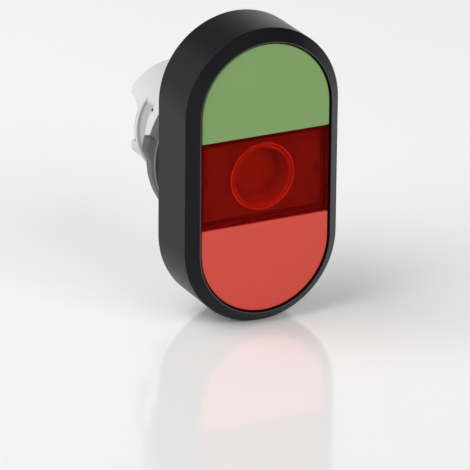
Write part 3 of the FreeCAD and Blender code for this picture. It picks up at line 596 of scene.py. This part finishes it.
collar_section = np.concatenate([
    band(front_section[None, :, 0], front_section[None, :, 1]),
    band(outer, y), band(tail, tail_depth), band(*outer_edge), band(*inner_edge),
    band(inner_section[None, :, 0], inner_section[None, :, 1])], 1)
angle = np.radians(turn)[:, None]
collar_grid = np.stack([collar_section[..., 0] * np.cos(angle), collar_section[..., 1],
                        collar_section[..., 0] * np.sin(angle)], -1)
collar_tube = skin("collar_tube", collar_grid, smooth=32)
pale_grey = moulded("pale_grey_moulding", (0.63, 0.63, 0.64), rough=0.45, mottle=0.05,
                    spread=0.12, grain=6000.0, depth=0.006 * MM, specular=0.35)
tree = pale_grey.node_tree
flat = node(tree, "VectorMath", [(0, node(tree, "TexCoord").outputs["Object"]),
                                 (1, (1, 0, 1))], operation="MULTIPLY").outputs["Vector"]
reach = node(tree, "VectorMath", [(0, flat)], operation="LENGTH").outputs["Value"]
# Both masks go by distance from the axis, and both paint shade. The grey is darker from the
# grooves' floor inwards, painted shade in the grooves, so in the whole bore too, and nearly black,
# a painted shadow, between that floor and the bore, which is the slits' floor, a thin line round
# the inner edge of the wings' ends, and the hidden seat at the front.
blend(pale_grey, (0.34, 0.34, 0.35), ramp(tree, reach, groove_floor + 0.05 * MM,
                                          groove_floor + 0.30 * MM, 0.80, 0.0))
wall_only = ramp(tree, reach, 9.80 * MM, 9.75 * MM, 1.0, 0.0)
blend(pale_grey, (0.06, 0.06, 0.06), node(tree, "Math", [
    (0, wall_only), (1, ramp(tree, reach, groove_floor - 0.08 * MM, groove_floor, 1.0, 0.0))],
    operation="MULTIPLY").outputs[0])
dress(collar_tube, pale_grey)
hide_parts("mounting_collar")
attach(collar_tube, "head")

# ---- panel gasket -----------------------------------------------------------------------------
# Soft black moulded ring that seals the bezel's back to the panel. Its edge is pinched in a
# little half way along, and a small groove runs round its panel side.
gasket_low, gasket_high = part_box("panel_gasket")
gasket_middle = 0.5 * (gasket_low.y + gasket_high.y)
gasket_rim = gasket_high.x
gasket_hole = 11.2 * MM
groove_at, groove_half, pinch = 12.7 * MM, 0.3 * MM, 0.25 * MM
gasket_ring = skin("gasket_ring", carried_round(rounded_outline(
    [(gasket_hole, gasket_low.y), (gasket_rim, gasket_low.y),
     (gasket_rim - pinch, gasket_middle), (gasket_rim, gasket_high.y),
     (groove_at + groove_half, gasket_high.y), (groove_at, gasket_high.y - pinch),
     (groove_at - groove_half, gasket_high.y), (gasket_hole, gasket_high.y)],
    np.array([0.15, 0.18, 0.3, 0.18, 0.08, 0.08, 0.08, 0.15]) * MM), 0, turns=128))
rubber = moulded("black_rubber", (0.004, 0.004, 0.0045), rough=0.62, mottle=0.3, spread=0.2,
                 grain=5000.0, depth=0.008 * MM, specular=0.12)
dress(gasket_ring, rubber)
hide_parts("panel_gasket")
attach(gasket_ring, "head")

# ---- thrust washer ----------------------------------------------------------------------------
# Thin grey moulded ring between the panel and the nut. It lets the nut turn without rubbing the
# panel, and travels along the collar with it.
washer_low, washer_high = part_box("thrust_washer")
washer_hole = 11.1 * MM
washer_ring = skin("washer_ring", carried_round(rounded_outline(
    [(washer_hole, washer_low.y), (washer_high.x, washer_low.y), (washer_high.x, washer_high.y),
     (washer_hole, washer_high.y)], 0.12 * MM), 0, turns=128))
dress(washer_ring, moulded("washer_moulding", (0.12, 0.12, 0.125), rough=0.42, mottle=0.1))
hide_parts("thrust_washer")
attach(washer_ring, "washer")

# ---- retaining nut ----------------------------------------------------------------------------
# Grey moulded ring that screws along the collar and clamps the panel. Its front is bevelled, and
# six ratchet-shaped lugs round it give the fingers a grip: steep on one side, sloping on the other.
nut_low, nut_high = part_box("retaining_nut")
nut_front, nut_rear = nut_low.y, nut_high.y
nut_radius, nut_bore, lug_height = 14.9 * MM, 11.05 * MM, 1.05 * MM
lug_first, lug_spacing, lug_rise = 43, 60, 1.0
lug_flat, lug_slope = 9.0, 8.0
lug_inner, lug_blend = 13.2 * MM, 1.2 * MM
nut_angles = with_edges(np.arange(0, 360, 1.5), (np.arange(6) * lug_spacing + lug_first) % 360,
                        lug_rise)
nut_angles = nut_angles[(nut_angles >= 0) & (nut_angles < 360)]
lug_turn = (nut_angles - lug_first) % lug_spacing
grip = step(lug_turn, 0.0, lug_rise) * (1 - np.clip((lug_turn - lug_flat) / lug_slope, 0, 1))
grip = np.where(lug_turn > lug_spacing - 0.6 * lug_rise,
                step(lug_turn - lug_spacing, 0.0, lug_rise), grip)
nut_nose, bevel_length = 14.1 * MM, 1.3 * MM
rear_face, rear_step, step_depth = 12.6 * MM, 12.3 * MM, 0.35 * MM
nut_outline = rounded_outline(
    [(nut_bore, nut_front), (nut_nose, nut_front), (nut_radius, nut_front + bevel_length),
     (nut_radius, nut_rear), (rear_face, nut_rear), (rear_step, nut_rear - step_depth),
     (nut_bore, nut_rear - step_depth)],
    np.array([0.15, 0.15, 0.5, 0.3, 0.12, 0.1, 0.1]) * MM)
thread_rows = np.linspace(nut_rear - 0.6 * MM, nut_front + 0.25 * MM, 27)
outline_turned = np.roll(nut_outline, -corner_points, 0)
section = np.concatenate([outline_turned,
                          np.stack([np.full(len(thread_rows), nut_bore), thread_rows], 1)])
turn_column = nut_angles[:, None]
outer_share = np.clip((section[:, 0] - lug_inner) / lug_blend, 0, 1)[None, :]
outer_share = outer_share * step(section[:, 1], nut_front + 1.1 * MM, 1.6 * MM)[None, :]
radius = section[None, :, 0] + lug_height * grip[:, None] * outer_share
cut = thread_relief(section[None, :, 1], turn_column)
in_bore = (np.arange(len(section)) >= len(outline_turned)).astype(float)[None, :]
radius = radius + thread_height * cut * in_bore
angle = np.radians(turn_column)
nut_grid = np.stack([radius * np.cos(angle), section[None, :, 1] + 0 * angle,
                     radius * np.sin(angle)], -1)
nut_ring = skin("nut_ring", nut_grid, smooth=32)
dress(nut_ring, moulded("nut_moulding", (0.080, 0.081, 0.083), rough=0.40, mottle=0.12,
                        spread=0.14, grain=6500.0, depth=0.006 * MM, specular=0.45))
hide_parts("retaining_nut")
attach(nut_ring, "nut")

# ---- return springs ---------------------------------------------------------------------------
# Round steel wire wound in five open turns between the chassis floor and the cap, round the
# stem's tower.
spring_low, spring_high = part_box("green_return_spring")
spring_radius, wire = 3.7 * MM, 0.3 * MM
spring_turns, points_per_turn = 5, 40
winding = np.linspace(0, 1, spring_turns * points_per_turn + 1)[:, None]
spring_angle = 2 * np.pi * spring_turns * winding
wire_turn = np.linspace(0, 2 * np.pi, 12, endpoint=False)[None, :]
rise = spring_high.y - spring_low.y - 2 * wire
wire_steel = moulded("spring_wire", (0.55, 0.55, 0.57), rough=0.28, mottle=0.05)
wire_steel.node_tree.nodes["Principled BSDF"].inputs["Metallic"].default_value = 1.0
for colour, side in (("green", 1), ("red", -1)):
    across = spring_radius + wire * np.cos(wire_turn)
    along = spring_high.y - wire - rise * winding + wire * np.sin(wire_turn)
    coil_grid = np.stack([across * np.cos(spring_angle), along,
                          across * np.sin(spring_angle) + side * button_centre], -1)
    coil_grid = coil_grid.transpose(1, 0, 2)
    ends = [coil_grid[:, k].mean(0) for k in (0, -1)]
    coil = skin(colour + "_spring_coil", filled(coil_grid, ends[0], ends[1], steps=1),
                close_across=False, smooth=60)
    dress(coil, wire_steel)
    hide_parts(colour + "_return_spring")
    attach(coil, "head")
    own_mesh(coil)

# ---- chassis ----------------------------------------------------------------------------------
# Dark grey inner moulding that holds everything: floor, low wall, lens posts and stem towers.
# The bezel snaps over four noses on it.
dress(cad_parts["chassis"],
      moulded("chassis_grey", (0.10, 0.10, 0.105), rough=0.5, mottle=0.2, spread=0.15,
              grain=4500.0, depth=0.010 * MM, specular=0.35))

# ---- pushers ----------------------------------------------------------------------------------
# Yokes of waxy natural plastic, staked to the caps' bosses. A finger on each passes the light
# guide and works a contact behind the panel.
natural = moulded("natural_waxy", (0.72, 0.69, 0.60), rough=0.42, mottle=0.06, specular=0.45)
for held in ("green_pusher", "red_pusher"):
    dress(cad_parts[held], natural)

# ---- guide disc and bushes --------------------------------------------------------------------
# White low-friction mouldings: a disc in the collar whose windows guide the fingers, and a bush
# pressed into each stem tower.
white_plastic = moulded("white_moulding", (0.78, 0.78, 0.75), rough=0.38, mottle=0.06)
for held in ("plunger_guide", "green_guide_bush", "red_guide_bush"):
    dress(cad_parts[held], white_plastic)

# ---- seals and stop pads ----------------------------------------------------------------------
# Soft black rubber like the gasket's: a band between bezel and chassis, a disc round the light
# guide, and a pad under each yoke that ends its travel.
for held in ("housing_seal", "inner_seal", "green_stop_pad", "red_stop_pad"):
    dress(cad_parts[held], rubber)

# ---- studio -----------------------------------------------------------------------------------
# Plain glossy white table under the bezel's lower end, in a white tent that is darker overhead,
# with one soft lamp at the left and one at the front.
floor_mesh = bpy.data.meshes.new("studio_floor")
floor_half = 6.0
floor_mesh.from_pydata(
    [(sx * floor_half, sy * floor_half, cad_low.z - 0.02 * MM)
     for sx, sy in ((-1, -1), (1, -1), (1, 1), (-1, 1))], [], [(0, 1, 2, 3)])
floor = bpy.data.objects.new("studio_floor", floor_mesh)
bpy.context.scene.collection.objects.link(floor)
table_top = bpy.data.materials.new("white_table")
table_top.use_nodes = True
table = table_top.node_tree.nodes["Principled BSDF"]
for label, value in (("Base Color", (0.94, 0.94, 0.94, 1.0)), ("Roughness", 0.10),
                     ("IOR", 1.6), ("Specular IOR Level", 1.0)):
    table.inputs[label].default_value = value
floor.data.materials.append(table_top)


def lamp(name, place, target, width, height, watts):
    """Rectangular soft lamp at place, turned so that it shines at target."""
    data = bpy.data.lights.new(name, "AREA")
    data.shape = "RECTANGLE"
    data.size, data.size_y, data.energy = width, height, watts
    body = bpy.data.objects.new(name, data)
    aim = Vector(target) - Vector(place)
    body.matrix_world = Matrix.Translation(place) @ aim.to_track_quat("-Z", "Y").to_matrix().to_4x4()
    bpy.context.scene.collection.objects.link(body)
    return body


lamp("left_lamp", (-0.75, 0.10, 0.85), (0, 0, 0), 1.2, 1.2, 13.0)
lamp("front_lamp", (0.30, -1.1, 0.75), (0, 0, 0), 1.0, 0.8, 8.0)

world = bpy.data.worlds.new("studio")
bpy.context.scene.world = world
world.use_nodes = True
tent = world.node_tree
direction = node(tent, "TexCoord").outputs["Generated"]
upward = node(tent, "SeparateXYZ", [(0, direction)]).outputs["Z"]
strength = ramp(tent, upward, 0.34, 0.50, 0.92, 0.10)
tent.links.new(strength, tent.nodes["Background"].inputs["Strength"])
tent.nodes["Background"].inputs["Color"].default_value = (1, 1, 1, 1)
bpy.context.scene.view_settings.view_transform = "Standard"

# ---- camera -----------------------------------------------------------------------------------
# Long lens from the left and above, aimed past the middle of the bezel's front.
azimuth, elevation, roll = np.radians(-26.6), np.radians(21.6), 0.0095
distance, aside, above = 0.850, 4.70 * MM, 10.49 * MM
back = np.array([np.sin(azimuth) * np.cos(elevation), -np.cos(azimuth) * np.cos(elevation),
                 np.sin(elevation)])
level = np.array([np.cos(azimuth), np.sin(azimuth), 0.0])
upright = np.cross(back, level)
right = np.cos(roll) * level + np.sin(roll) * upright
up = np.cos(roll) * upright - np.sin(roll) * level
eye = np.array([0, ridge, 0]) + back * distance - right * aside - up * above
camera_data = bpy.data.cameras.new("camera")
camera_data.lens, camera_data.sensor_width = 368.8, 36.0
camera_data.clip_start, camera_data.clip_end = 0.01, 50.0
camera = bpy.data.objects.new("camera", camera_data)
turned = Matrix(np.stack([right, up, back], 1).tolist()).to_4x4()
camera.matrix_world = Matrix.Translation(eye.tolist()) @ turned
bpy.context.scene.collection.objects.link(camera)
bpy.context.scene.camera = camera
